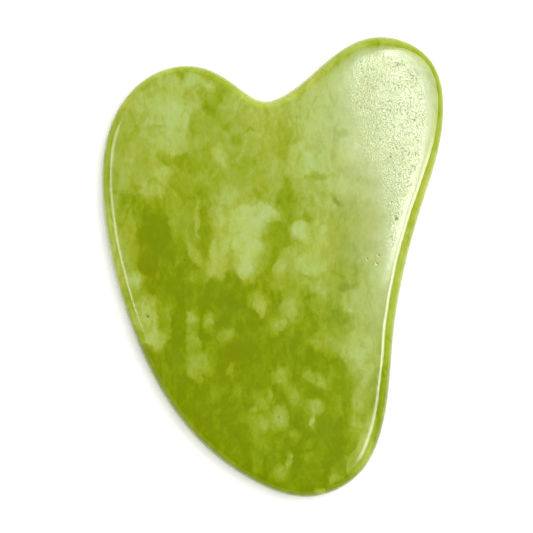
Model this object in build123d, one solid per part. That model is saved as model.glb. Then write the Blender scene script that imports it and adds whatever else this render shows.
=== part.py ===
"""A gua sha scraper: one flat, hand-held board of polished green stone, lying on one face.

The board has a heart-like outline with a small round lobe, a tall horn, a notch between them
and a blunt tip opposite. It is cut from a single slab, so the whole object is one solid.
Its rim is ground round, so that every edge glides on skin. In section the rim is close to half
an ellipse: it curves tightly off each face and more gently across the slab's thickness.
Millimetres. X runs across the board, Y from the tip towards the lobes, Z up through its thickness.
"""

import os
from math import atan2, pi, radians, tan

from build123d import *

# Driving dimensions
BOARD_LENGTH = 80.0  # from the tip to the top of the horn, along Y
BOARD_THICKNESS = 6.0
RIM_WIDTH = 2.1  # how far in from the outline the rim starts to curve off the flat face
ROUNDED_SHARE = 0.97  # of the room between neighbouring roundings, so that they don't quite meet

# The outline from above, clockwise. One smooth closed curve runs through these points.
NOTCH = [(0.0, 29.0), (3.0, 30.5)]
HORN = [(9.0, 35.5), (17.5, 40.0), (27.0, 36.5), (29.5, 24.5)]
SCRAPING_EDGE = [(26.0, 11.0), (21.0, -11.5), (19.0, -28.0)]
TIP = [(15.0, -36.0), (6.5, -40.0), (-3.0, -37.5)]
BACK_EDGE = [(-16.5, -26.0), (-25.5, -8.0), (-29.5, 10.0)]
LOBE = [(-27.5, 26.5), (-21.0, 33.5), (-14.0, 35.0), (-7.0, 32.0)]


def board_outline():
    """The flat outline at its real length, with the middle of its bounding box at the origin."""
    drawn = Face(Wire(Spline(*NOTCH, *HORN, *SCRAPING_EDGE, *TIP, *BACK_EDGE, *LOBE, periodic=True)))
    sized = drawn.scale(BOARD_LENGTH / drawn.bounding_box().size.Y)
    middle = sized.bounding_box().center()
    return sized.moved(Location((-middle.X, -middle.Y, 0)))


def edges_at(slab, *heights):
    """The edges that run round the slab at these heights."""
    near = 0.01
    return [e for z in heights for e in slab.edges().filter_by_position(Axis.Z, z - near, z + near)]


def round_rim(slab):
    """Bevels both faces' edges along the ellipse's 45 degree tangent, then rounds every corner left."""
    half_thickness = BOARD_THICKNESS / 2
    kept = tan(radians(22.5))  # the share of each half axis that lies outside that tangent's bevel
    face_cut = RIM_WIDTH * (1 - kept)
    side_cut = half_thickness * (1 - kept)
    for end in (0, -1):
        face = slab.faces().sort_by(Axis.Z)[end]
        slab = chamfer(face.edges(), face_cut, side_cut, reference=face)

    bevel_slope = atan2(side_cut, face_cut)
    side_radius = ROUNDED_SHARE * half_thickness * kept / tan((pi / 2 - bevel_slope) / 2)
    face_radius = ROUNDED_SHARE * RIM_WIDTH * kept / tan(bevel_slope / 2)
    slab = fillet(edges_at(slab, side_cut, BOARD_THICKNESS - side_cut), side_radius)
    return fillet(edges_at(slab, 0, BOARD_THICKNESS), face_radius)


def main():
    os.makedirs("parts", exist_ok=True)
    board = round_rim(extrude(board_outline(), BOARD_THICKNESS, dir=(0, 0, 1)))
    board.label = "jade_board"
    export_step(board, "parts/jade_board.step")
    size = board.bounding_box().size
    print(f"jade_board {size.X:.2f} x {size.Y:.2f} x {size.Z:.2f} mm, {board.volume / 1000:.2f} cm3")


main()
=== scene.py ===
"""Looks for a gua sha scraper: a polished green stone board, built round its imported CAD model.

Everything is in metres, in the CAD model's own frame. MM turns the millimetres used below into
metres. Places on the board are given in millimetres from the middle of the CAD model's box.
"""
import math
import random

import bpy
import numpy as np
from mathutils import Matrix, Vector, noise
from mathutils.geometry import delaunay_2d_cdt


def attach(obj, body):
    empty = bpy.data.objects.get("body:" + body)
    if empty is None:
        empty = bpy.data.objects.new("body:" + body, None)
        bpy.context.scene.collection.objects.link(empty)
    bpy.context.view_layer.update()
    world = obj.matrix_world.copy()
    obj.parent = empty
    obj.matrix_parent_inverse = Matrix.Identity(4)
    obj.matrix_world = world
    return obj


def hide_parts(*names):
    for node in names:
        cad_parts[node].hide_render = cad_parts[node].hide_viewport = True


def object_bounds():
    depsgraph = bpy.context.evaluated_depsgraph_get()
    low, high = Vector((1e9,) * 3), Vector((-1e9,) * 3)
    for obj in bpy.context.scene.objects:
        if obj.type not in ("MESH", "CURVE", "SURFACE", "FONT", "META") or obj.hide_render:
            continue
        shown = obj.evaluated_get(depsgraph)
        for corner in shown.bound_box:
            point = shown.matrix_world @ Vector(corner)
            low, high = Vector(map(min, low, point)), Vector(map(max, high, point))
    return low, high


MM = 0.001

# The board's surface
RIM_WIDTH = 2.4 * MM  # how far in from the outline the rim starts to fall away from the face
RIM_POWER = 3.0  # the higher, the tighter the rim's curve and the closer it keeps to the outline
RIM_WANDER = 0.12  # share by which the hand-ground rim's width wanders
# Where the rim is ground wider: x, y and reach in millimetres, and the share added to its width
RIM_WIDENINGS = [(17.5, 39.0, 7.5, 0.5), (17.0, -28.0, 12.0, 0.16)]
FACE_DIP = 0.014 * MM  # depth of the shallow waves that hand polishing leaves
CROWN = 0.5 * MM  # how far the upper face falls away towards the sides
SHOULDER_RUN, SHOULDER_FALL = 4.6 * MM, 0.2 * MM  # the faces roll off over this run before the rim

# The mesh
OUTLINE_POINTS = 640
RIM_RINGS = 20  # from the outline to each face
RING_CROWDING = 1.5  # above 1, the rings crowd towards the faces, where they would else lie far apart
FACE_SPACING = 0.38 * MM
PIT_RINGS = ((0.45, 6), (0.8, 9), (1.1, 12))  # share of the pit's radius, and points in the ring

# Small natural pits: those on the lower face are scattered, and those on the upper face are placed by
# x, y and radius. Both sets of radii are in millimetres
SCATTERED_PITS = 9
SCATTERED_PIT_RADII = 0.09, 0.2
PIT_DEPTH = 0.7  # as a share of the pit's radius
PIT_GAP = 1.2 * MM  # between the middles of two pits, at least
FULL_DARK_DEPTH = 0.015 * MM  # from this depth on, a pit is fully darkened
UPPER_PITS = [
    (-21.6, -8.6, 0.28), (1.0, -26.0, 0.2), (-15.3, 1.2, 0.22), (12.0, -36.5, 0.2),
    (16.8, -26.4, 0.2), (21.3, 8.3, 0.3), (18.3, 2.0, 0.2), (18.0, 0.6, 0.18), (16.3, 1.4, 0.18),
    (24.5, 25.4, 0.22), (20.3, 19.0, 0.2), (21.5, 34.9, 0.2),
]

# The stone's clouds near the upper face, large ones first, each laid over those before it: x, y,
# half width, half height, tilt in degrees clockwise, and paleness from 0, deep green, to 1, milky
GROUND_CLOUDS = [
    (-19, 25, 13, 13, 0, 0.54), (-2, 20, 12, 13, 0, 0.52), (14, 26, 14, 18, 15, 0.58),
    (8, 2, 9, 11, 0, 0.46), (18, 0, 6, 22, 12, 0.5), (-15, 12, 7, 8, 0, 0.36),
    (-27.5, 3.0, 2.2, 9.0, -8, 0.7), (0.0, 29.0, 5.0, 2.0, 0, 0.8), (25.0, 14.0, 2.6, 16.0, 15, 0.52),
    (6.5, 16.0, 5.5, 9.0, 0, 0.7), (9.5, 24.0, 4.5, 7.0, 10, 0.8), (16.6, -4.0, 2.6, 7.0, 5, 0.76),
    (0.0, 24.5, 5.0, 3.6, 0, 0.64), (-22.5, 17.0, 3.6, 4.6, 0, 0.62), (15.2, -33.0, 1.2, 2.4, 25, 0.55),
]
LOBE_CLOUDS = [
    (-18.8, 27.5, 4.6, 5.5, 0, 0.82), (-16.3, 25.5, 1.5, 3.0, 0, 0.9), (-17.2, 21.5, 2.0, 2.0, 0, 0.72),
    (-13.2, 32.0, 2.8, 1.2, 20, 0.8), (-22.0, 24.0, 3.0, 0.8, -4, 0.56), (-22.0, 18.0, 1.4, 1.2, 0, 0.52),
    (-22.3, 31.3, 2.2, 0.8, -35, 0.5), (-16.0, 33.2, 0.6, 1.5, 0, 0.3), (-12.3, 29.4, 0.9, 1.4, 0, 0.4),
    (-13.2, 24.4, 0.9, 2.2, 0, 0.42), (-9.4, 29.6, 0.6, 2.6, 22, 0.26), (-11.0, 27.3, 1.3, 1.0, 25, 0.16),
    (-9.4, 26.0, 1.2, 0.9, -30, 0.36), (-7.7, 24.2, 1.2, 0.8, -30, 0.26), (-6.6, 22.5, 0.8, 1.1, 0, 0.36),
    (-4.4, 23.0, 1.1, 0.22, -22, 0.3), (-5.8, 28.2, 2.2, 1.6, 30, 0.66), (-9.4, 19.3, 1.4, 1.8, 0, 0.74),
    (-15.6, 18.4, 2.4, 0.7, 0, 0.22), (-14.4, 15.2, 2.8, 2.2, 0, 0.36), (-14.0, 12.7, 2.0, 1.6, 0, 0.28),
    (-19.0, 16.5, 1.4, 1.1, 0, 0.78), (-19.3, 13.7, 0.9, 2.4, 0, 0.76), (-21.9, 12.3, 1.5, 1.3, 0, 0.62),
    (-26.0, 13.8, 1.0, 1.2, 0, 0.6), (-23.8, 13.8, 0.8, 1.0, 0, 0.34), (-4.0, 16.6, 1.6, 2.6, 0, 0.44),
    (-7.6, 12.2, 2.6, 1.6, 0, 0.7), (-1.6, 12.2, 1.4, 1.2, 0, 0.42),
]
HORN_CLOUDS = [
    (9.0, 30.5, 4.0, 2.2, -35, 0.8), (13.5, 34.0, 5.0, 2.2, -35, 0.85), (7.4, 20.0, 2.8, 3.6, 0, 0.8),
    (3.8, 18.4, 1.3, 1.8, 0, 0.7), (1.8, 20.6, 0.9, 3.2, 0, 0.36), (2.0, 23.0, 1.2, 0.9, 0, 0.4),
    (0.6, 27.4, 2.6, 1.0, 0, 0.66), (13.0, 21.2, 1.6, 3.2, 0, 0.85), (10.7, 20.6, 0.6, 2.8, 0, 0.58),
    (11.6, 23.3, 1.6, 0.5, 0, 0.5), (7.0, 12.6, 2.0, 2.0, 0, 0.6), (12.2, 14.2, 2.4, 1.6, 0, 0.8),
    (7.8, 15.4, 2.4, 0.7, 0, 0.36), (16.5, 13.0, 0.9, 1.8, 0, 0.6), (25.5, 33.0, 1.4, 2.6, 0, 0.4),
    (16.5, 31.0, 1.0, 3.0, 0, 0.56),
]
MIDDLE_CLOUDS = [
    (1.4, 5.0, 1.6, 6.5, 22, 0.17), (2.2, 12.2, 1.2, 3.0, 0, 0.18), (-4.6, 5.0, 3.0, 5.4, 0, 0.95),
    (-3.2, 9.2, 3.6, 1.5, 5, 0.95), (-0.3, 9.2, 1.3, 0.8, 10, 0.92), (-5.0, -0.2, 1.4, 1.6, 0, 0.95),
    (-9.3, 8.3, 1.5, 1.9, 0, 0.7), (-9.0, 4.4, 1.4, 2.4, 0, 0.66), (-9.8, 0.9, 1.9, 2.6, 0, 0.72),
    (5.6, 8.2, 1.1, 1.0, 0, 0.24), (4.7, 6.2, 1.2, 1.4, 0, 0.9), (8.2, 4.6, 1.7, 3.4, 0, 0.78),
    (3.0, 2.6, 1.0, 2.2, 20, 0.6), (6.2, 0.6, 2.5, 2.0, 0, 0.78), (6.8, -1.7, 1.8, 0.3, 0, 0.48),
    (1.4, 0.0, 0.9, 1.7, 12, 0.74), (7.8, -3.8, 1.8, 1.4, 0, 0.62), (12.0, 3.4, 1.6, 5.0, 0, 0.36),
    (11.3, 11.0, 0.5, 1.6, -35, 0.2), (13.0, -1.0, 1.8, 2.4, 0, 0.34), (12.4, -3.6, 1.5, 1.2, 0, 0.16),
    (10.6, -6.4, 1.0, 2.0, 0, 0.34), (11.3, -8.6, 2.2, 1.9, 0, 0.14), (13.0, -10.6, 1.2, 1.0, 0, 0.3),
    (8.0, -8.0, 1.1, 1.6, 0, 0.3), (5.8, -6.4, 0.8, 2.4, -15, 0.12), (6.2, -9.8, 1.4, 1.6, 0, 0.1),
    (13.4, -6.6, 1.3, 1.6, 0, 0.74), (9.0, -12.8, 1.9, 1.8, 0, 0.48), (6.6, -13.0, 1.2, 1.2, 0, 0.36),
    (15.2, -15.6, 2.8, 3.6, 0, 0.84), (-1.0, 1.2, 0.4, 1.1, 10, 0.36), (0.7, -3.6, 1.1, 1.3, 0, 0.4),
]
BACK_CLOUDS = [
    (-23.6, 10.6, 2.8, 1.3, 8, 0.22), (-25.2, 7.0, 1.6, 2.6, 0, 0.34), (-24.6, 2.6, 1.2, 3.0, 0, 0.56),
    (-20.0, 6.6, 2.6, 3.2, 0, 0.02), (-19.0, 2.2, 4.2, 3.4, 0, 0.02), (-15.0, 7.0, 2.6, 3.0, 0, 0.34),
    (-13.1, 8.0, 0.35, 3.2, 0, 0.62), (-13.5, 1.9, 0.8, 2.2, -28, 0.5), (-11.7, 6.0, 0.8, 4.0, 0, 0.14),
    (-13.0, -2.2, 2.8, 1.0, 0, 0.2), (-16.8, 0.6, 0.5, 1.0, 30, 0.22), (-24.0, -2.4, 1.5, 1.3, 0, 0.78),
    (-25.2, 0.4, 0.7, 2.0, -10, 0.6), (-22.2, -8.4, 2.2, 3.6, -10, 0.84), (-21.0, -11.6, 1.4, 2.4, -18, 0.72),
    (-19.4, -12.2, 1.2, 1.9, 0, 0.6), (-18.2, -10.0, 0.9, 2.6, 0, 0.34), (-14.1, -8.8, 0.9, 1.4, 0, 0.6),
    (-14.0, -12.4, 1.1, 1.8, 0, 0.5), (-14.0, -10.7, 1.0, 0.4, 0, 0.26), (-11.3, -9.5, 0.9, 1.3, 10, 0.52),
    (-8.2, -12.0, 1.6, 1.5, -30, 0.34), (-10.6, -12.6, 1.4, 1.8, 0, 0.2), (-12.8, -17.0, 2.3, 2.8, 0, 0.4),
    (-18.7, -17.0, 0.8, 1.5, 0, 0.18), (-7.3, -17.2, 0.5, 1.4, 25, 0.3), (-2.9, -5.8, 1.8, 1.2, 15, 0.6),
    (-2.1, -7.6, 0.7, 1.2, 0, 0.66), (3.0, -7.0, 1.7, 2.2, 20, 0.6), (3.7, -4.4, 0.8, 1.1, 0, 0.42),
    (1.0, -10.0, 1.2, 1.6, 0, 0.6), (-16.6, -10.0, 0.9, 5.0, 0, 0.04), (-10.0, -4.8, 6.5, 1.5, 0, 0.03),
    (-7.5, -8.2, 1.8, 2.0, 0, 0.03), (-0.3, 0.5, 0.5, 1.6, 15, 0.1), (0.6, -6.4, 0.6, 1.6, 0, 0.2),
    (1.2, -13.2, 3.8, 1.2, 0, 0.03), (11.0, -17.0, 1.5, 1.5, 0, 0.2),
]
TIP_CLOUDS = [
    (1.2, -18.8, 1.3, 1.5, 0, 0.54), (3.2, -21.6, 1.3, 3.2, -32, 0.4), (6.4, -18.8, 1.1, 0.8, 0, 0.44),
    (8.0, -20.0, 0.8, 1.2, -20, 0.56), (-1.5, -23.0, 1.7, 2.4, 0, 0.34), (-3.3, -24.8, 0.6, 0.9, 0, 0.42),
    (1.0, -26.7, 1.6, 1.8, 0, 0.56), (-2.6, -27.0, 2.6, 1.2, 5, 0.4), (7.3, -24.2, 1.5, 1.2, 0, 0.55),
    (6.9, -27.0, 0.6, 1.3, 0, 0.74), (3.7, -29.0, 0.9, 0.7, 0, 0.26), (-2.4, -30.4, 2.0, 2.2, 0, 0.2),
    (-2.8, -34.0, 1.1, 1.6, 0, 0.26), (2.6, -33.6, 0.6, 1.8, 10, 0.56), (1.4, -35.8, 1.3, 1.2, 0, 0.52),
    (6.2, -32.0, 1.3, 1.7, 0, 0.15), (10.8, -36.4, 1.3, 1.2, 0, 0.5), (13.5, -34.0, 1.0, 1.4, 30, 0.4),
    (8.4, -38.8, 0.9, 0.5, 0, 0.4), (-6.5, -21.0, 1.5, 1.8, 0, 0.16), (-11.0, -22.6, 1.2, 1.2, 0, 0.18),
    (12.4, -20.5, 2.4, 3.2, 0, 0.16), (15.4, -22.0, 1.5, 3.0, 5, 0.55), (14.6, -26.8, 1.2, 2.6, 10, 0.55),
    (16.2, -29.0, 1.0, 3.4, 15, 0.74), (3.6, -26.6, 0.8, 1.8, 0, 0.02), (9.8, -29.0, 2.6, 2.6, 0, 0.05),
]
CLOUDS = GROUND_CLOUDS + LOBE_CLOUDS + HORN_CLOUDS + MIDDLE_CLOUDS + BACK_CLOUDS + TIP_CLOUDS
DEEPEST = 0.05  # paleness of the stone between the clouds
EVERY_HEIGHT = 1e4  # a cloud's half size along Z, so great that only x and y count
STAIN = (-22.6, 2.0, 2.3, 8.0, -26)  # the warm stain near the back edge, given as a cloud is

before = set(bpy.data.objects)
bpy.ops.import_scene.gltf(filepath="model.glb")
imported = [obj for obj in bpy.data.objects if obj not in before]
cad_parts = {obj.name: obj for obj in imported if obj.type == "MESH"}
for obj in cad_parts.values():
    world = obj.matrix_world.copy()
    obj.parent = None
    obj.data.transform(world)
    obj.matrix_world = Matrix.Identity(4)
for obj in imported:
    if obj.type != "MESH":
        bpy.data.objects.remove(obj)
cad_low, cad_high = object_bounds()
CENTRE = (cad_low + cad_high) / 2
HALF_THICKNESS = (cad_high.z - cad_low.z) / 2


# ---------------------------------------------------------------- the board's mesh

def closed_spline(knots):
    """A closed cubic curve through the knots, as a function of the run along their chords."""
    count = len(knots)
    gap = np.linalg.norm(np.roll(knots, -1, axis=0) - knots, axis=1)
    start = np.r_[0, np.cumsum(gap)]
    slope = (np.roll(knots, -1, axis=0) - knots) / gap[:, None]
    matrix = np.zeros((count, count))
    for i in range(count):
        matrix[i, i - 1] += gap[i - 1]
        matrix[i, i] += 2 * (gap[i - 1] + gap[i])
        matrix[i, (i + 1) % count] += gap[i]
    bend = np.linalg.solve(matrix, 6 * (slope - np.roll(slope, 1, axis=0)))

    def curve(run):
        i = np.clip(np.searchsorted(start, run, side="right") - 1, 0, count - 1)
        j = (i + 1) % count
        g, t = gap[i][:, None], (run - start[i])[:, None]
        first = slope[i] - g * (2 * bend[i] + bend[j]) / 6
        return knots[i] + t * (first + t * (bend[i] / 2 + t * (bend[j] - bend[i]) / (6 * g)))

    return curve, start[-1]


def outline_from_cad(count):
    """The outline at mid thickness, counter-clockwise, as evenly spaced points on a smooth curve."""
    # the CAD mesh's corners just above mid thickness, in order round the board and without doubles
    corners = np.array([v.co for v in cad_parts["jade_board"].data.vertices])
    above_waist = corners[:, 2] - CENTRE.z
    knots = corners[(above_waist > 0) & (above_waist < 0.1 * MM), :2]
    knots = knots[np.argsort(np.arctan2(knots[:, 1], knots[:, 0]))]
    step = np.linalg.norm(knots - np.roll(knots, 1, axis=0), axis=1)
    curve, length = closed_spline(knots[step > 0.3 * MM])
    fine_run = np.linspace(0, length, 20 * count + 1)
    fine = curve(fine_run[:-1])
    step = np.linalg.norm(np.roll(fine, -1, axis=0) - fine, axis=1)
    travelled = np.r_[0, np.cumsum(step)]
    even = np.linspace(0, travelled[-1], count, endpoint=False)
    return curve(np.interp(even, travelled, fine_run))


def inward_normals(outline):
    along = np.roll(outline, -1, axis=0) - np.roll(outline, 1, axis=0)
    along /= np.linalg.norm(along, axis=1)[:, None]
    return np.stack([-along[:, 1], along[:, 0]], axis=1)


def inside(points, outline):
    """Which points lie inside the closed outline."""
    hit = np.zeros(len(points), bool)
    for a, b in zip(outline, np.roll(outline, -1, axis=0)):
        spans = (a[1] > points[:, 1]) != (b[1] > points[:, 1])
        rise = (b[1] - a[1]) or 1.0
        hit ^= spans & (points[:, 0] < a[0] + (b[0] - a[0]) * (points[:, 1] - a[1]) / rise)
    return hit


def nearest(points, others):
    """How far each point is from the nearest of the others."""
    away = np.full(len(points), np.inf)
    for other in others:
        away = np.minimum(away, np.linalg.norm(points - other, axis=1))
    return away


def scatter_pits(rng, edge, count):
    """Small natural pits on a face: (x, y, radius)."""
    low, high = edge.min(axis=0), edge.max(axis=0)
    pits = []
    while len(pits) < count:
        spot = np.array([[rng.uniform(low[0], high[0]), rng.uniform(low[1], high[1])]])
        radius = rng.uniform(*SCATTERED_PIT_RADII) * MM
        if inside(spot, edge)[0] and nearest(spot, edge)[0] > MM:
            pits.append((spot[0, 0], spot[0, 1], radius))
    return pits


def apart(pits, gap):
    """The pits that stand clear of every pit before them."""
    kept = []
    for pit in pits:
        if all(math.hypot(pit[0] - k[0], pit[1] - k[1]) > gap for k in kept):
            kept.append(pit)
    return kept


def face_points(edge, pits):
    """Evenly spread points inside a face's edge, with finer rings in each pit."""
    low, high = edge.min(axis=0), edge.max(axis=0)
    rows = []
    for k, y in enumerate(np.arange(low[1], high[1], FACE_SPACING * math.sqrt(0.75))):
        row = np.arange(low[0] + FACE_SPACING / 2 * (k % 2), high[0], FACE_SPACING)
        rows.append(np.column_stack([row, np.full(len(row), y)]))
    points = np.concatenate(rows)
    points = points[inside(points, edge)]
    points = points[nearest(points, edge) > 0.6 * FACE_SPACING]
    for x, y, radius in pits:
        points = points[np.hypot(points[:, 0] - x, points[:, 1] - y) > 1.35 * radius]
    rings = [points]
    for x, y, radius in pits:
        rings.append(np.array([[x, y]]))
        for share, count in PIT_RINGS:
            turn = np.arange(count) * math.tau / count
            rings.append(np.array([x, y]) + share * radius * np.column_stack([np.cos(turn), np.sin(turn)]))
    return np.concatenate(rings)


def triangles(edge, points):
    """Triangles over the edge's points and the inner points, numbered edge first."""
    flat = [Vector(p) for p in (np.concatenate([edge, points]) / MM).tolist()]
    rim = [(i, (i + 1) % len(edge)) for i in range(len(edge))]
    found = delaunay_2d_cdt(flat, rim, [], 1, 1e-6)
    order = [originals[0] for originals in found[3]]
    return [[order[i] for i in face] for face in found[2]]


def wander(seed):
    """Smooth closed noise along the outline, about -1 to 1."""
    values = []
    for turn in np.linspace(0, math.tau, OUTLINE_POINTS, endpoint=False):
        slow = noise.noise((3.2 * math.cos(turn), 3.2 * math.sin(turn), seed))
        quick = noise.noise((11 * math.cos(turn), 11 * math.sin(turn), seed + 7))
        values.append(slow + 0.45 * quick)
    return np.array(values)


def rim_rings(outline):
    """Rings of corners round the rim, from the upper face's edge, over the outline, to the lower's."""
    inward = inward_normals(outline)
    wider = np.ones(len(outline))
    for x, y, reach, share in RIM_WIDENINGS:
        away = np.hypot(*(outline - (CENTRE.x + x * MM, CENTRE.y + y * MM)).T)
        wider += share * np.exp(-(away / (reach * MM)) ** 2)
    widths = [RIM_WIDTH * wider * (1 + RIM_WANDER * wander(seed)) for seed in (2.5, 31.5)]
    rings = []
    for step in np.linspace(-1, 1, 2 * RIM_RINGS + 1):
        turn = math.pi / 2 * (1 - abs(step)) ** RING_CROWDING
        inset = widths[step > 0] * (1 - math.sin(turn) ** (2 / RIM_POWER))
        height = np.full(len(outline), CENTRE.z - math.copysign(HALF_THICKNESS, step) * math.cos(turn))
        rings.append(np.column_stack([outline + inward * inset[:, None], height]))
    return rings


def rim_faces(rings, n):
    """Four-sided faces between rings of n corners."""
    faces = []
    for k in range(rings - 1):
        for i in range(n):
            j = (i + 1) % n
            faces.append((k * n + i, (k + 1) * n + i, (k + 1) * n + j, k * n + j))
    return faces


def pit_depth(points, pits):
    """How deep each point lies in a pit."""
    depth = np.zeros(len(points))
    for x, y, radius in pits:
        away = np.hypot(points[:, 0] - x, points[:, 1] - y) / radius
        depth = np.maximum(depth, PIT_DEPTH * radius * np.clip(1 - away**2, 0, 1) ** 2)
    return depth


def wear(corners, inboard):
    """Lets the faces fall away: the polisher's shallow waves, the roll-off before the rim, the crown."""
    half_size = (cad_high - cad_low) / 2
    for corner, reach in zip(corners, inboard):
        x, y, z = corner
        side = (z - CENTRE.z) / HALF_THICKNESS
        spot = Vector(corner) / MM
        wave = 1.3 + noise.noise(spot / 9.0) + 0.3 * noise.noise(spot / 3.1)
        fall = FACE_DIP * wave / 2 + SHOULDER_FALL * max(1 - reach / SHOULDER_RUN, 0) ** 2
        if side > 0:
            fall += CROWN * (((x - CENTRE.x) / half_size.x) ** 2 + ((y - CENTRE.y) / half_size.y) ** 2)
        corner[2] -= math.copysign(fall, side) * side**4


def keep_on_corners(mesh, name, values):
    """Stores a number for each corner of the mesh, for its material to read."""
    mesh.attributes.new(name, "FLOAT", "POINT").data.foreach_set("value", values.astype(np.float32))


def board_mesh():
    """The whole stone as one closed mesh: a band of rings round the rim and a fine sheet on each face."""
    n = OUTLINE_POINTS
    outline = outline_from_cad(n)
    corners = rim_rings(outline)
    faces = rim_faces(len(corners), n)
    depths = [np.zeros(n * len(corners))]
    inboard = [nearest(ring[:, :2], outline) for ring in corners]

    rng = random.Random(11)
    placed_pits = [(CENTRE.x + x * MM, CENTRE.y + y * MM, radius * MM) for x, y, radius in UPPER_PITS]
    for side, ring in ((1, 0), (-1, 2 * RIM_RINGS)):
        edge = corners[ring][:, :2]
        pits = placed_pits if side > 0 else scatter_pits(rng, edge, SCATTERED_PITS)
        pits = apart(pits, PIT_GAP)
        points = face_points(edge, pits)
        start = sum(len(c) for c in corners)
        for tri in triangles(edge, points):
            tri = [ring * n + i if i < n else start + i - n for i in tri]
            faces.append(tri if side > 0 else tri[::-1])
        depth = pit_depth(points, pits)
        level = CENTRE.z + side * HALF_THICKNESS
        corners.append(np.column_stack([points, level - side * depth]))
        depths.append(depth)
        inboard.append(nearest(points, outline))

    corners, inboard = np.concatenate(corners), np.concatenate(inboard)
    wear(corners, inboard)
    mesh = bpy.data.meshes.new("stone_board")
    mesh.from_pydata(corners.tolist(), [], faces)
    keep_on_corners(mesh, "pit", np.clip(np.concatenate(depths) / FULL_DARK_DEPTH, 0, 1))
    keep_on_corners(mesh, "inboard", inboard / MM)
    mesh.shade_smooth()
    return mesh


# ---------------------------------------------------------------- materials

class Nodes:
    """Adds shader nodes to a node tree, wiring each input as it is given."""

    def __init__(self, tree):
        self.tree = tree

    def add(self, kind, inputs=(), **settings):
        node = self.tree.nodes.new(kind if kind.startswith("Node") else "ShaderNode" + kind)
        for name, value in settings.items():
            setattr(node, name, value)
        for name, value in dict(inputs).items():
            if isinstance(value, bpy.types.NodeSocket):
                self.tree.links.new(value, node.inputs[name])
            else:
                node.inputs[name].default_value = value
        return node

    def math(self, operation, a, b=0.0, c=0.0):
        return self.add("Math", {0: a, 1: b, 2: c}, operation=operation).outputs[0]

    def spread(self, value, low, high, to_low=0.0, to_high=1.0, smooth=True):
        """value from low..high to to_low..to_high, held at the ends."""
        kind = "SMOOTHSTEP" if smooth else "LINEAR"
        ends = {"Value": value, "From Min": low, "From Max": high, "To Min": to_low, "To Max": to_high}
        return self.add("MapRange", ends, interpolation_type=kind).outputs["Result"]

    def noise(self, place, size, detail=2.0, roughness=0.5):
        """Noise with features of about this size, in the units of place."""
        inputs = {"Vector": place, "Scale": 1.0 / size, "Detail": detail, "Roughness": roughness}
        return self.add("TexNoise", inputs).outputs["Fac"]

    def scaled(self, place, scale):
        return self.add("VectorMath", {0: place, 1: scale}, operation="MULTIPLY").outputs[0]

    def mix(self, kind, factor, a, b):
        node = self.add("Mix", {"Factor": factor}, data_type="RGBA", blend_type=kind)
        for socket, value in ((node.inputs[6], a), (node.inputs[7], b)):
            if isinstance(value, bpy.types.NodeSocket):
                self.tree.links.new(value, socket)
            else:
                socket.default_value = (*value, 1.0)
        return node.outputs[2]


def new_material(name):
    material = bpy.data.materials.new(name)
    material.use_nodes = True
    tree = material.node_tree
    return material, Nodes(tree), tree.nodes["Principled BSDF"]


# Stone colour against paleness, as linear red, green and blue
STONE_COLOURS = [
    (-0.3, (0.146, 0.204, 0.000)),
    (0.0, (0.160, 0.222, 0.000)),
    (0.2, (0.210, 0.280, 0.002)),
    (0.4, (0.255, 0.325, 0.018)),
    (0.6, (0.300, 0.358, 0.044)),
    (0.8, (0.340, 0.422, 0.085)),
    (1.0, (0.378, 0.466, 0.140)),
]
# Tints, which the stone's colour is multiplied by, channel by channel; the rim's tint is a painted glow
RIM_PAINTED_GLOW = (1.18, 1.16, 0.95)
YELLOWER, BLUER = (1.02, 1.0, 0.88), (0.98, 1.0, 1.1)
RUST = (1.1, 0.96, 0.6)
# Colours that cover the stone's own
# the colour that pits are darkened towards, by their depth
PIT_DARKENING = (0.05, 0.07, 0.006)
# a tint that is partly the stone's milkiness and partly a painted sheen
MILK_AND_SHEEN = (0.50, 0.56, 0.42)
# painted shade for the open pores of the frosted stone, where they miss the sheen's reflection
PORE_PAINTED_SHADE = (0.10, 0.13, 0.05)

# Marks in the paleness, from mottling to fibres and flecks: size, detail, strength and squeeze
MARKS = [
    (1.6, 4.0, 0.85, (1.0, 0.6, 1.0)),
    (0.6, 3.0, 0.4, (1.0, 0.32, 1.0)),
    (0.35, 2.0, 0.22, (1.0, 1.0, 1.0)),
]
CRACK_STRENGTH = 0.17

# The right side is less finely ground. Its frost and its tint, milky in part and in part a painted sheen
# whitening the side that the sheen's softbox lights, each set in at the first of these and are full at
# the second. Both are values of x + y / 4, in millimetres, to which noise adds between 0 and WANDER_ACROSS
FROST_RUN = 23.0, 31.0
MILK_AND_SHEEN_RUN = 12.0, 36.0
WANDER_ACROSS = 12.0
MILK_AND_SHEEN_STRENGTH = 0.33
GRAIN_DEPTH = 0.021 * MM  # of the fine bumps that make the frosted stone sparkle


def shards(n, place, size, pull):
    """place, pulled towards the middle of the angular shard that it lies in, so that what is drawn
    from it gets broken edges."""
    squeeze = 0.7
    squeezed = n.scaled(place, (1.0, squeeze, 1.0))
    shard = n.add("TexVoronoi", {"Vector": squeezed, "Scale": 1.0 / size, "Smoothness": 0.6},
                  feature="SMOOTH_F1")
    middle = n.scaled(shard.outputs["Position"], (1.0, 1 / squeeze, 1.0))
    return n.add("Mix", {"Factor": pull, 4: place, 5: middle}, data_type="VECTOR").outputs[1]


def shifted(n, place, size, amount, squeeze=(1.0, 1.0, 1.0)):
    """place, moved about by smooth noise with features of about this size."""
    push = n.add("TexNoise", {"Vector": n.scaled(place, squeeze), "Scale": 1.0 / size, "Detail": 2.0})
    push = n.add("VectorMath", {0: push.outputs["Color"], 1: (0.5, 0.5, 0.5)}, operation="SUBTRACT")
    push = n.scaled(push.outputs[0], (2 * amount,) * 3)
    return n.add("VectorMath", {0: place, 1: push}, operation="ADD").outputs[0]


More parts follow.
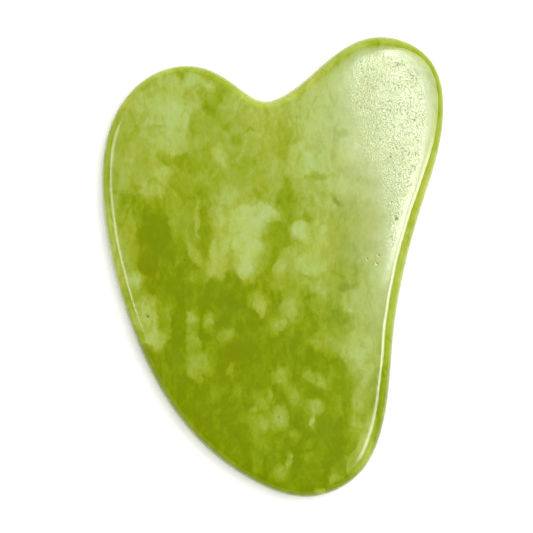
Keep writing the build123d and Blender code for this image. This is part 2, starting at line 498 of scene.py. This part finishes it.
def cloud_group():
    """A node group that lays one cloud. Its vector carries x, y and the paleness so far, so that the
    clouds are worked out one after another: all at once, they would overflow the renderer's memory."""
    tree = bpy.data.node_groups.new("cloud", "ShaderNodeTree")
    tree.interface.new_socket("So far", in_out="OUTPUT", socket_type="NodeSocketVector")
    for name in ("So far", "Middle", "Turn", "Half size", "Paleness"):
        tree.interface.new_socket(name, in_out="INPUT", socket_type="NodeSocketVector")
    n = Nodes(tree)
    given = n.add("NodeGroupInput").outputs
    place = {"Vector": given["So far"], "Location": given["Middle"], "Rotation": given["Turn"],
             "Scale": given["Half size"]}
    spot = n.add("Mapping", place, vector_type="TEXTURE").outputs[0]
    away = n.add("VectorMath", {0: spot}, operation="LENGTH").outputs["Value"]
    cover = n.add("CombineXYZ", {"Z": n.spread(away, 1.65, 0.46)}).outputs[0]
    mixed = n.add("Mix", {1: cover, 4: given["So far"], 5: given["Paleness"]},
                  data_type="VECTOR", factor_mode="NON_UNIFORM").outputs[1]
    n.tree.links.new(mixed, tree.nodes.new("NodeGroupOutput").inputs[0])
    return tree


def laid_clouds(n, place):
    """Paleness from the clouds, laid one over another."""
    cloud = cloud_group()
    flat_place = n.add("VectorMath", {0: place, 1: (1.0, 1.0, 0.0), 2: (0.0, 0.0, DEEPEST)},
                       operation="MULTIPLY_ADD")
    so_far = flat_place.outputs[0]
    for x, y, half_width, half_height, tilt, paleness in CLOUDS:
        laid = n.tree.nodes.new("ShaderNodeGroup")
        laid.node_tree = cloud
        laid.inputs["Middle"].default_value = (CENTRE.x / MM + x, CENTRE.y / MM + y, 0.0)
        laid.inputs["Turn"].default_value = (0.0, 0.0, -math.radians(tilt))
        laid.inputs["Half size"].default_value = (half_width, half_height, EVERY_HEIGHT)
        laid.inputs["Paleness"].default_value = (0.0, 0.0, paleness)
        n.tree.links.new(so_far, laid.inputs["So far"])
        so_far = laid.outputs[0]
    return n.add("SeparateXYZ", {0: so_far}).outputs["Z"]


def stone_paleness(n, mm, bent):
    """Placed clouds near the upper face and random ones near the lower, with finer marks over them."""
    height = n.add("SeparateXYZ", {0: mm}).outputs["Z"]
    upper = n.spread(height, 1.0, 5.0)  # 0 near the lower face, 1 near the upper
    broken = shards(n, shards(n, bent, 2.4, 0.28), 1.0, 0.33)
    below = n.spread(n.noise(broken, 7.0, 3.0, 0.6), 0.36, 0.66, 0.0, 0.95)
    pale = n.add("Mix", {"Factor": upper, 2: below, 3: laid_clouds(n, broken)}).outputs[0]
    for size, detail, strength, squeeze in MARKS:
        mark = n.noise(n.scaled(bent, squeeze), size, detail, 0.6)
        pale = n.math("MULTIPLY_ADD", n.math("SUBTRACT", mark, 0.5), strength, pale)

    # healed cracks: short thin lines of deeper green
    cells = n.add("TexVoronoi", {"Vector": n.scaled(bent, (1.0, 0.5, 1.0)), "Scale": 1 / 3.0},
                  feature="DISTANCE_TO_EDGE")
    crack = n.math("MULTIPLY", n.spread(cells.outputs["Distance"], 0.1, 0.0),
                   n.spread(n.noise(mm, 3.5, 2.0), 0.46, 0.6))
    return n.math("MULTIPLY_ADD", crack, -CRACK_STRENGTH, pale)


def stone_colour(n, pale):
    """The colour that STONE_COLOURS gives for a paleness."""
    deepest, palest = STONE_COLOURS[0][0], STONE_COLOURS[-1][0]
    ramp = n.add("ValToRGB", {"Fac": n.spread(pale, deepest, palest, smooth=False)})
    stops = ramp.color_ramp.elements
    while len(stops) < len(STONE_COLOURS):
        stops.new(0.5)
    for stop, (at, colour) in zip(stops, STONE_COLOURS):
        stop.position, stop.color = (at - deepest) / (palest - deepest), (*colour, 1.0)
    return ramp.outputs["Color"]


def tinted(n, colour, mm, bent):
    """colour, drifting slowly between a yellower and a bluer green, with rusty stains."""
    drift = n.spread(n.noise(mm, 9.0, 2.0), 0.35, 0.65)
    colour = n.mix("MULTIPLY", 1.0, colour, n.mix("MIX", drift, YELLOWER, BLUER))
    rusty = n.spread(n.noise(n.scaled(bent, (1.0, 0.6, 1.0)), 5.0, 3.0), 0.56, 0.72)
    x, y, half_width, half_height, tilt = STAIN
    place = {"Vector": bent, "Location": (CENTRE.x / MM + x, CENTRE.y / MM + y, 0.0),
             "Rotation": (0.0, 0.0, -math.radians(tilt)), "Scale": (half_width, half_height, EVERY_HEIGHT)}
    spot = n.add("Mapping", place, vector_type="TEXTURE").outputs[0]
    away = n.add("VectorMath", {0: spot}, operation="LENGTH").outputs["Value"]
    rusty = n.math("MAXIMUM", rusty, n.spread(away, 1.3, 0.5))
    return n.mix("MULTIPLY", n.math("MULTIPLY", rusty, 0.7), colour, RUST)


def grinding(n, mm, inboard):
    """How frosted the less finely ground stone is, its milky and painted-sheen tint, and its open pores."""
    across = n.add("VectorMath", {0: mm, 1: (1.0, 0.25, 0.0)}, operation="DOT_PRODUCT").outputs["Value"]
    across = n.math("MULTIPLY_ADD", n.noise(mm, 6.0, 3.0), WANDER_ACROSS, across)
    frost = n.math("MULTIPLY", n.spread(across, *FROST_RUN), n.spread(inboard, 2.0, 3.8))
    patchy = n.spread(n.noise(mm, 2.2, 3.0, 0.6), 0.3, 0.6)
    frost = n.math("MULTIPLY", frost, n.math("MULTIPLY_ADD", patchy, 0.5, 0.5))
    milk_and_sheen = n.math("MULTIPLY", n.spread(across, *MILK_AND_SHEEN_RUN, 0.0, MILK_AND_SHEEN_STRENGTH), n.spread(inboard, 1.4, 2.6))
    pores = n.math("MULTIPLY", n.spread(n.noise(mm, 0.3, 1.0, 0.5), 0.56, 0.66), frost)
    return frost, milk_and_sheen, pores


def stone_roughness(n, mm, flat, pit, frost, pores):
    """Polished nearly all over, duller where the face is frosted, and rough in open pores and pits."""
    ground = n.spread(n.noise(mm, 5.0, 3.0), 0.3, 0.7, 0.09, 0.12)
    ground = n.math("MULTIPLY_ADD", frost, 0.08, ground)
    ground = n.math("MULTIPLY_ADD", pores, 0.4, ground)
    polished = n.spread(n.noise(mm, 1.5, 3.0), 0.3, 0.7, 0.07, 0.13)
    roughness = n.add("Mix", {"Factor": flat, 2: polished, 3: ground}).outputs[0]
    return n.math("MAXIMUM", roughness, n.spread(pit, 0.0, 0.3, 0.0, 0.8))


def green_stone():
    material, n, shader = new_material("green_stone")
    mm = n.scaled(n.add("TexCoord").outputs["Object"], (1 / MM,) * 3)
    bent = shifted(n, shifted(n, mm, 2.6, 0.7), 0.6, 0.3, (1.0, 0.6, 1.0))
    colour = tinted(n, stone_colour(n, stone_paleness(n, mm, bent)), mm, bent)

    # painted glow: the rim's colour is painted brighter and more saturated, as light through thin stone
    slope = n.add("SeparateXYZ", {0: n.add("TexCoord").outputs["Normal"]}).outputs["Z"]
    flat = n.spread(n.math("ABSOLUTE", slope), 0.93, 0.99)  # 0 on the rim, 1 on the faces
    colour = n.mix("MIX", flat, n.mix("MULTIPLY", 1.0, colour, RIM_PAINTED_GLOW), colour)

    pit = n.add("Attribute", attribute_name="pit").outputs["Fac"]
    # pits are darkened by their depth
    colour = n.mix("MIX", n.math("MULTIPLY", pit, 0.6), colour, PIT_DARKENING)

    # less finely ground stone has frosted reflections and a tint, milky in part and in part painted sheen
    inboard = n.add("Attribute", attribute_name="inboard").outputs["Fac"]
    frost, milk_and_sheen, pores = grinding(n, mm, inboard)
    roughness = stone_roughness(n, mm, flat, pit, frost, pores)
    # the tint, partly milky stone and partly painted sheen
    colour = n.mix("MIX", milk_and_sheen, colour, MILK_AND_SHEEN)
    # painted shade in the open pores, standing in for the sheen they fail to reflect
    colour = n.mix("MIX", n.math("MULTIPLY", pores, 0.5), colour, PORE_PAINTED_SHADE)

    grain = n.noise(mm, 0.25, 1.0, 0.5)
    relief = n.math("MULTIPLY", grain, n.math("MULTIPLY_ADD", frost, 0.97, 0.03))
    bump = n.add("Bump", {"Height": relief, "Distance": GRAIN_DEPTH, "Strength": 1.0})

    for name, value in (("Base Color", colour), ("Roughness", roughness), ("Normal", bump.outputs[0])):
        n.tree.links.new(value, shader.inputs[name])
    shader.inputs["IOR"].default_value = 1.55
    shader.inputs["Subsurface Weight"].default_value = 0.2
    shader.inputs["Subsurface Radius"].default_value = (1.0, 1.0, 0.35)
    shader.inputs["Subsurface Scale"].default_value = 0.5 * MM
    return material


def paper_white():
    material, n, shader = new_material("paper_white")
    place = n.add("TexCoord").outputs["Object"]
    fibre = n.noise(place, 0.4 * MM, 3.0)
    tone = n.mix("MIX", fibre, (0.93, 0.93, 0.93), (0.96, 0.96, 0.96))
    n.tree.links.new(tone, shader.inputs["Base Color"])
    shader.inputs["Roughness"].default_value = 0.9
    shader.inputs["Specular IOR Level"].default_value = 0.1
    shader.inputs["Emission Color"].default_value = (1.0, 1.0, 1.0, 1.0)
    shader.inputs["Emission Strength"].default_value = 0.15
    return material


# ---------------------------------------------------------------- the studio

FLOOR_REACH = 3.0
FLOOR_GAP = 0.01 * MM  # between the floor and the board

# The softbox whose reflection makes the sheen on the right, in steps of brightness: where each
# starts and ends, in degrees down from overhead, its radiance, its width and how far it's moved aside
SHEEN_STEPS = [
    (8.0, 10.0, 1.0, 0.12, 0.035), (10.0, 11.7, 4.6, 0.12, 0.035), (11.7, 15.5, 20.5, 0.12, 0.035),
    (15.5, 28.0, 5.0, 0.20, 0.02),
]
SHEEN_BEARING, SHEEN_DISTANCE = 15, 0.33

# The other softboxes: name, bearing, lean, distance, width, height, radiance, what it's hidden from.
# The strips only show as bright lines along the rim, and the fill lights the board unseen
SOFTBOXES = [
    ("left_strip", 175, 21, 0.60, 0.19, 0.065, 6.0, "diffuse"),
    ("right_strip", -19, 20, 0.60, 0.21, 0.08, 8.0, "diffuse"),
    ("overhead_fill", 38, 18, 0.80, 0.85, 0.85, 4.4, "glossy"),
]

# The room: pale up to the walls' top and dark from the ceiling on, as heights on a sphere of radius 1
WALLS_TOP, CEILING = 0.5, 0.85
PALE_GREY, DARK_GREY = 0.55, 0.02

CAMERA_DISTANCE = 0.45
VIEW_WIDTH = 92.7 * MM
VIEW_OFFSET = (-1.1 * MM, 0.06 * MM)  # of the view's middle from the board's


def add_floor():
    level = cad_low.z - FLOOR_GAP
    signs = ((-1, -1), (1, -1), (1, 1), (-1, 1))
    corners = [(x * FLOOR_REACH, y * FLOOR_REACH, level) for x, y in signs]
    mesh = bpy.data.meshes.new("floor")
    mesh.from_pydata(corners, [], [(0, 1, 2, 3)])
    floor = bpy.data.objects.new("floor", mesh)
    bpy.context.scene.collection.objects.link(floor)
    mesh.materials.append(paper_white())


def softbox(name, bearing, lean, distance, width, height, radiance, hidden_from, aside=0.0):
    """A soft rectangular light aimed at the board. bearing is degrees from +X towards +Y, lean is
    degrees down from straight overhead, and aside is how far it's moved along its width."""
    lamp = bpy.data.lights.new(name, "AREA")
    lamp.shape, lamp.size, lamp.size_y = "RECTANGLE", width, height
    lamp.energy = radiance * math.pi * width * height
    holder = bpy.data.objects.new(name, lamp)
    bpy.context.scene.collection.objects.link(holder)
    turn, tip = math.radians(bearing), math.radians(lean)
    away = Vector((math.cos(turn) * math.sin(tip), math.sin(turn) * math.sin(tip), math.cos(tip)))
    along_width = Vector((-math.sin(turn), math.cos(turn), 0))
    holder.location = CENTRE + away * distance + along_width * aside
    holder.rotation_euler = away.to_track_quat("Z", "Y").to_euler()
    holder.visible_camera = False
    holder.visible_diffuse = hidden_from != "diffuse"
    holder.visible_glossy = hidden_from != "glossy"


def add_lights():
    for k, (near, far, radiance, width, aside) in enumerate(SHEEN_STEPS):
        height = 2 * SHEEN_DISTANCE * math.tan(math.radians(far - near) / 2)
        lean = (near + far) / 2
        softbox(f"sheen_{k}", SHEEN_BEARING, lean, SHEEN_DISTANCE, width, height, radiance, "diffuse", aside)
    for settings in SOFTBOXES:
        softbox(*settings)


def add_world():
    """A pale room with a dark ceiling, so that the faces don't reflect a bright one."""
    world = bpy.data.worlds.new("studio")
    world.use_nodes = True
    n = Nodes(world.node_tree)
    up = n.add("SeparateXYZ", {0: n.add("TexCoord").outputs["Generated"]}).outputs["Z"]
    grey = n.spread(up, WALLS_TOP, CEILING, PALE_GREY, DARK_GREY)
    background = world.node_tree.nodes["Background"]
    world.node_tree.links.new(grey, background.inputs["Color"])
    bpy.context.scene.world = world


def add_camera():
    """Looks straight down, a little left of the board's middle."""
    camera = bpy.data.cameras.new("camera")
    camera.sensor_width = 36.0
    camera.lens = camera.sensor_width * CAMERA_DISTANCE / VIEW_WIDTH
    camera.clip_start, camera.clip_end = 0.01, 20.0
    holder = bpy.data.objects.new("camera", camera)
    holder.location = CENTRE + Vector((*VIEW_OFFSET, CAMERA_DISTANCE))
    bpy.context.scene.collection.objects.link(holder)
    bpy.context.scene.camera = holder


# ---------------------------------------------------------------- the scene

board = bpy.data.objects.new("stone_board", board_mesh())
bpy.context.scene.collection.objects.link(board)
board.data.materials.append(green_stone())
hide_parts("jade_board")
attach(board, "root")

add_floor()
add_lights()
add_world()
add_camera()
bpy.context.scene.view_settings.view_transform = "Standard"
